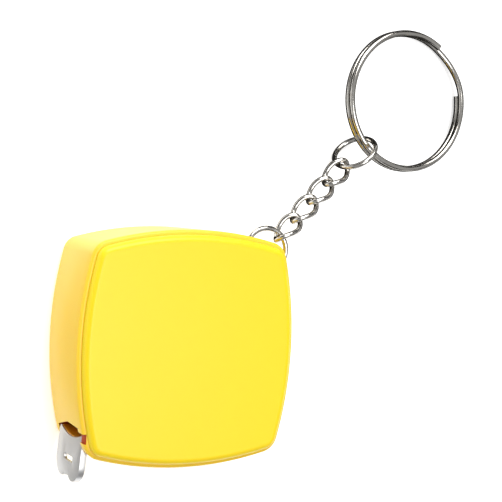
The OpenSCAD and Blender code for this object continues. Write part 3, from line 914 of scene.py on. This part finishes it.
class KEYTAPE_OT_end_hook(PieceOperator):
    """Pressed steel end hook with its tongue, slot and two lobes, and its two rivets"""

    bl_idname = "keytape.end_hook"
    bl_label = "End Hook"

    def execute(self, context):
        tape = context.scene.tape_sizes
        steel = bare_steel()
        arc = section_radius(tape)
        under = arc + 0.02 * MM
        half = float(HOOK_HIGH[2] - HOOK_LOW[2]) / 2
        lobe = tape.lobe
        pivot = Vector((float(HOOK_HIGH[0]) - 3.3 * MM, RUN_Y, TAPE_Z))

        # Half the outline, from the top's middle round a corner and a lobe to the notch
        side = []
        reach = half - CORNER
        for i in range(19):
            z = reach * i / 18
            side.append((arc - math.sqrt(under ** 2 - z * z), z))
        rise = side[-1][0]
        for i in range(1, 9):
            a = math.pi / 2 * i / 8
            side.append((rise - CORNER * (1 - math.cos(a)), reach + CORNER * math.sin(a)))
        for i in range(25):
            a = math.pi * i / 24
            y, z = FOOT + lobe - lobe * math.sin(a), half - lobe + lobe * math.cos(a)
            if a > math.pi / 2 and y > FOOT + tape.notch:
                break
            side.append((y, z))
        side.append((FOOT + tape.notch, side[-1][1] - 0.1 * MM))
        outline = side + [(y, -z) for y, z in reversed(side[1:])]
        inner = tape.hook_thick / 2
        layers = (-inner, inner + tape.rail)
        plate = outward(stack("hook_plate", [[(t, y, z) for y, z in outline] for t in layers], steel))

        # The plate is hollowed behind its face, which leaves the turned-in rim open at the top
        rail = 0.5 * MM
        floor = [(y + (3 * MM if y > -1.5 * MM else rail), z * (1 - rail / half)) for y, z in outline]
        pan = stack("pan", [[(t, y, z) for y, z in floor] for t in (inner, inner + MM)], steel)
        cut(plate, "DIFFERENCE", outward(pan))
        slot_y = FOOT * 0.52
        bulge = 0.35 * MM
        ring = []
        for i in range(40):
            a = 2 * math.pi * i / 40
            y = math.copysign(tape.slot_height / 2 - bulge, math.sin(a)) + bulge * math.sin(a)
            z = math.copysign(tape.slot_width / 2 - bulge, math.cos(a)) + bulge * math.cos(a)
            ring.append((slot_y + y, z))
        slot = stack("slot", [[(t, y, z) for y, z in ring] for t in (-MM, MM)], steel)
        cut(plate, "DIFFERENCE", outward(slot))
        soften(plate, 0.13 * MM, 3, 40)
        lean = Matrix.Rotation(-tape.lean, 4, "Z")
        plate.data.transform(Matrix.Translation(pivot) @ lean)

        # The tongue: a bend as wide as the plate, then a narrow strip under the tape
        rows, columns = 26, 25
        broad = half - 0.6 * MM
        start = pivot.x - tape.hook_thick / 2
        straight = start + BEND + 0.08 * MM
        end = float(HOOK_HIGH[0])
        points = []
        for layer in (0, 1):
            for r in range(rows):
                wide = TONGUE_HALF + (broad - TONGUE_HALF) * min(1.0, max(0.0, (12 - r) / 2.5))
                for c in range(columns):
                    z = -wide + 2 * wide * c / (columns - 1)
                    if r < 9:
                        a = math.pi / 2 * (1 - r / 9)
                        radius = BEND + 0.06 * MM - layer * TONGUE_THICK
                        x = straight - radius * math.sin(a)
                        drop = BEND + 0.06 * MM - radius * math.cos(a)
                    else:
                        x = straight + (end - start - BEND - 0.08 * MM) * (r - 9) / (rows - 10)
                        drop = layer * TONGUE_THICK
                    y = RUN_Y + arc - math.sqrt(under ** 2 - z * z) - drop
                    points.append((x, y, TAPE_Z + z))
        tongue = outward(add_object("tongue", points, sheet_faces(rows, columns), steel))
        cut(plate, "UNION", tongue)
        holes = []
        for name in RIVETS:
            hole = turned("hole", [(0.55 * MM, -2 * MM), (0.55 * MM, 2 * MM)], (0, 0, 0), 40, steel)
            place = Matrix.Translation(span(name)[2])
            hole.data.transform(place @ Matrix.Rotation(math.pi / 2, 4, "X"))
            holes.append(hole)
        cut(plate, "DIFFERENCE", *holes)
        smooth(plate, 35)
        plate.name = "end_hook_plate"
        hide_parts("end_hook")
        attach(plate, "tape_end")
        for name in RIVETS:
            low, high, mid = span(name)
            under_head = ((0.02, 0), (0.62, 0), (0.78, 0.06), (0.8, 0.22), (0.5, 0.22))
            dome = ((0.5, 0.26), (0.85, 0.26), (0.82, 0.12), (0.6, 0.03), (0.3, 0), (0.02, 0))
            profile = [(r * MM, low[1] + y * MM) for r, y in under_head]
            profile += [(r * MM, high[1] - y * MM) for r, y in dome]
            rivet = turned("rivet", profile, (0, 0, 0), 40, steel)
            place = Matrix.Translation((mid[0], 0, mid[2]))
            rivet.data.transform(place @ Matrix.Rotation(-math.pi / 2, 4, "X"))
            outward(rivet)
            smooth(rivet, 40)
            rivet.name = name.replace("hook_", "") + "_domed"
            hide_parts(name)
            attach(rivet, "tape_end")
        return {"FINISHED"}


class KEYTAPE_OT_tape(PieceOperator):
    """Curved painted tape from the mouth to the hook, with marks for the length that pulls out"""

    bl_idname = "keytape.tape"
    bl_label = "Tape"

    def execute(self, context):
        tape = context.scene.tape_sizes
        # The paint colour is partly painted light: deep orange for the light through the case's plastic.
        paint = painted_tape(tuple(tape.tape_paint_and_light_colour))
        arc = section_radius(tape)
        middle, run_y = TAPE_Z, RUN_Y
        x_end, x_case = float(TAPE_LOW[0]), float(TAPE_HIGH[0])
        # Between the two bends the strip's marks are laid out for its full length
        bend_end, bend_case = x_end + 6.2 * MM, x_case - 0.6 * MM
        xs = [x_end + (bend_end - x_end) * i / 12 for i in range(12)]
        xs += [bend_end + (bend_case - bend_end) * i / 160 for i in range(161)]
        xs += [bend_case + (x_case - bend_case) * i / 2 for i in (1, 2)]
        columns = 17
        points, travel, across, face = [], [], [], []
        for layer in (1, 0):
            for x in xs:
                t = min(max((bend_case - x) / (bend_case - bend_end), 0), 1)
                share = t * t * (3 - 2 * t)
                for c in range(columns):
                    v = -1 + 2 * c / (columns - 1)
                    z = v * tape.width / 2
                    radius = arc - layer * TAPE_THICK
                    points.append((x, run_y + arc - math.sqrt(radius ** 2 - z * z), middle + z))
                    travel.append((x - x_end + (1 - share) * tape.travel) / MM)
                    across.append(v)
                    face.append(float(layer))
        strip = add_object("tape_strip", points, sheet_faces(len(xs), columns), paint)
        for name, values in (("tape_mm", travel), ("tape_across", across), ("tape_face", face)):
            layer = strip.data.attributes.new(name, "FLOAT", "POINT")
            layer.data.foreach_set("value", values)
        outward(strip)
        smooth(strip, 40)
        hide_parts("blade_run")
        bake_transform(strip)
        return {"FINISHED"}


class KEYTAPE_OT_jump_rings(PieceOperator):
    """The ring through the case's corner and the ring round the split ring"""

    bl_idname = "keytape.jump_rings"
    bl_label = "Jump Rings"

    def execute(self, context):
        chain = context.scene.chain_sizes
        along, turn = chain_frame()
        yaw = math.atan2(along.y, along.x)
        upper = Vector(JOINTS["ring_high_swing"]["pos_m"]) + along * chain.jump_radius
        lower = Vector(JOINTS["ring_low_turn"]["pos_m"])
        places = (
            ("lower_jump_ring", "lower_jump_wire", "ring_low", lower,
             Matrix.Identity(3), yaw - math.radians(105)),
            ("upper_jump_ring", "upper_jump_wire", "ring_high", upper,
             turn @ Matrix.Rotation(math.radians(-70), 3, "X"), math.radians(100)),
        )
        steps = 128
        radius = chain.jump_radius
        for node, name, body, centre, turning, joint in places:
            path = []
            for i in range(steps + 1):
                a = joint + RING_OPENING / 2 + (2 * math.pi - RING_OPENING) * i / steps
                path.append(centre + turning @ Vector((radius * math.cos(a), radius * math.sin(a), 0)))
            ring = wire_piece(name, path, chain.wire / 2, False)
            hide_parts(node)
            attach(ring, body)
        return {"FINISHED"}


class KEYTAPE_OT_chain(PieceOperator):
    """Four twisted curb links"""

    bl_idname = "keytape.chain"
    bl_label = "Curb Links"

    def execute(self, context):
        chain = context.scene.chain_sizes
        along, turn = chain_frame()
        for number in range(4):
            centre = Vector(JOINTS[f"link_{number + 1}_swing"]["pos_m"]) + along * chain.half_length
            roll = turn @ Matrix.Rotation(math.radians(-58 + 8 * number), 3, "X")
            path = []
            for i in range(144):
                t = 2 * math.pi * i / 144
                lean = chain.twist / 2 * math.cos(t)
                wide = chain.half_width * math.sin(t)
                point = (chain.half_length * math.cos(t), wide * math.cos(lean), wide * math.sin(lean))
                path.append(centre + roll @ Vector(point))
            link = wire_piece(f"curb_link_{number + 1}", path, chain.wire / 2, True)
            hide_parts(f"chain_link_{number + 1}")
            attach(link, f"link_{number + 1}")
        return {"FINISHED"}


class KEYTAPE_OT_split_ring(PieceOperator):
    """Two-turn split ring, with the wire crossing from one turn to the other"""

    bl_idname = "keytape.split_ring"
    bl_label = "Split Ring"

    def execute(self, context):
        chain = context.scene.chain_sizes
        near = Vector(JOINTS["key_ring_swing"]["pos_m"])
        yaw, tilt = math.radians(41.5), math.radians(6.2)
        turn = Matrix.Rotation(yaw, 3, "Z") @ Matrix.Rotation(tilt, 3, "Y")
        radius = chain.split_radius
        centre = near + turn @ Vector((radius, 0, 0))
        total = 720 - SPLIT_CROSS
        steps = 420
        path = []
        for i in range(steps + 1):
            s = total * i / steps
            u = min(max((s - 360 + SPLIT_CROSS) / SPLIT_CROSS, 0), 1)
            rise = (chain.split_wire + SPLIT_GAP) * (u * u * (3 - 2 * u) - 0.5)
            a = math.radians(-33.5 - s)
            path.append(centre + turn @ Vector((radius * math.cos(a), radius * math.sin(a), rise)))
        ring = wire_piece("split_ring_wire", path, chain.split_wire / 2, False)
        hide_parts("split_ring")
        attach(ring, "key_ring")
        return {"FINISHED"}


class KEYTAPE_OT_stage(PieceOperator):
    """Pale floor, soft lights and the camera"""

    bl_idname = "keytape.stage"
    bl_label = "Stage"

    def execute(self, context):
        scene = context.scene
        stage = scene.stage_sizes
        corners = [(-4, -4, 0), (4, -4, 0), (4, 4, 0), (-4, 4, 0)]
        floor = add_object("floor", corners, [(0, 1, 2, 3)], pale_floor(tuple(stage.floor)))

        camera = bpy.data.cameras.new("camera")
        camera.lens = stage.lens
        camera.sensor_width = 36
        camera.shift_x = camera.shift_y = stage.shift
        camera.clip_start, camera.clip_end = 0.01, 20
        viewer = bpy.data.objects.new("camera", camera)
        scene.collection.objects.link(viewer)
        turn = (Matrix.Rotation(math.radians(-2.8), 3, "Z") @ Matrix.Rotation(math.radians(6.03), 3, "X")
                @ Matrix.Rotation(math.radians(24.82), 3, "Y")).transposed()
        place = turn @ Vector((0.01045, 0.0076, 0.25175))
        viewer.matrix_world = Matrix.Translation(place) @ turn.to_4x4()
        scene.camera = viewer

        lights = (
            ("key", (0.05, 0.62, 0.52), (0.02, 0.0, 0.0), 0.62, 0.50, 5.9, (1.0, 0.99, 0.97)),
            ("front", (0.12, -0.12, 0.95), (0.0, 0.0, 0.0), 0.45, 0.45, 3.4, (1.0, 1.0, 1.0)),
            ("left", (-0.75, 0.05, 0.25), (0.0, 0.0, 0.01), 0.5, 0.35, 0.5, (1.0, 0.99, 0.97)),
        )
        for name, at, towards, wide, tall, power, tint in lights:
            data = bpy.data.lights.new(name, "AREA")
            data.shape = "RECTANGLE"
            data.size, data.size_y = wide, tall
            data.energy = power
            data.color = tint
            lamp = bpy.data.objects.new(name, data)
            lamp.location = at
            aim = Vector(towards) - Vector(at)
            lamp.rotation_euler = aim.to_track_quat("-Z", "Y").to_euler()
            scene.collection.objects.link(lamp)

        # Dark cards round the part, and two just over the floor under the chain and the hook
        dark = card_finish("dark_card", 3, (0.012, 0.012, 0.013), (0.05, 0.048, 0.045))
        grey = card_finish("grey_card", 40, (0.30, 0.30, 0.30), (0.46, 0.46, 0.45))
        for number in range(9):
            a = 2 * math.pi * (number + 0.35) / 9
            wide = 0.25 * (1.0 if number % 2 else 0.75)
            low, high = (0.02, 1.0) if number % 2 else (0.30, 0.75)
            corners = []
            for side, z in ((-wide, low), (wide, low), (wide, high), (-wide, high)):
                corners.append((1.3 * math.cos(a + side), 1.3 * math.sin(a + side), z))
            glossy_card(f"card_{number + 1}", corners[::-1], dark)
        for name, x0, y0, x1, y1, finish in (("card_chain", 0.0165, 0.012, 0.16, 0.16, dark),
                                             ("card_hook", -0.16, -0.16, -0.0205, 0.02, grey)):
            corners = [(x0, y0, 0.0002), (x1, y0, 0.0002), (x1, y1, 0.0002), (x0, y1, 0.0002)]
            glossy_card(name, corners, finish)

        world = bpy.data.worlds.new("studio")
        scene.world = world
        world.use_nodes = True
        world.node_tree.nodes["Background"].inputs["Color"].default_value = (1, 1, 1, 1)
        world.node_tree.nodes["Background"].inputs["Strength"].default_value = 0.42
        scene.view_settings.view_transform = "Standard"
        scene.view_settings.look = "None"
        return {"FINISHED"}


class KEYTAPE_PT_panel(bpy.types.Panel):
    """Sidebar panel with one button for each piece."""

    bl_idname = "KEYTAPE_PT_panel"
    bl_label = "Tape Measure"
    bl_space_type = "VIEW_3D"
    bl_region_type = "UI"
    bl_category = "Tape Measure"

    def draw(self, context):
        layout = self.layout
        for operator in OPERATORS:
            layout.operator(operator.bl_idname)
        for group in GROUPS:
            sizes = getattr(context.scene, group)
            box = layout.box()
            for name in sizes.__annotations__:
                box.prop(sizes, name)


GROUPS = {
    "case_sizes": CaseSettings,
    "tape_sizes": TapeSettings,
    "chain_sizes": ChainSettings,
    "stage_sizes": StageSettings,
}
OPERATORS = (
    KEYTAPE_OT_rear_shell,
    KEYTAPE_OT_front_cover,
    KEYTAPE_OT_reel,
    KEYTAPE_OT_end_hook,
    KEYTAPE_OT_tape,
    KEYTAPE_OT_jump_rings,
    KEYTAPE_OT_chain,
    KEYTAPE_OT_split_ring,
    KEYTAPE_OT_stage,
)


def register():
    for group, kind in GROUPS.items():
        bpy.utils.register_class(kind)
        setattr(bpy.types.Scene, group, bpy.props.PointerProperty(type=kind))
    for kind in (*OPERATORS, KEYTAPE_PT_panel):
        bpy.utils.register_class(kind)


def unregister():
    for kind in (KEYTAPE_PT_panel, *reversed(OPERATORS)):
        bpy.utils.unregister_class(kind)
    for group, kind in GROUPS.items():
        delattr(bpy.types.Scene, group)
        bpy.utils.unregister_class(kind)


def main():
    """Builds every piece and the stage."""
    register()
    for operator in OPERATORS:
        family, name = operator.bl_idname.split(".")
        getattr(getattr(bpy.ops, family), name)()


if __name__ == "__main__":
    main()
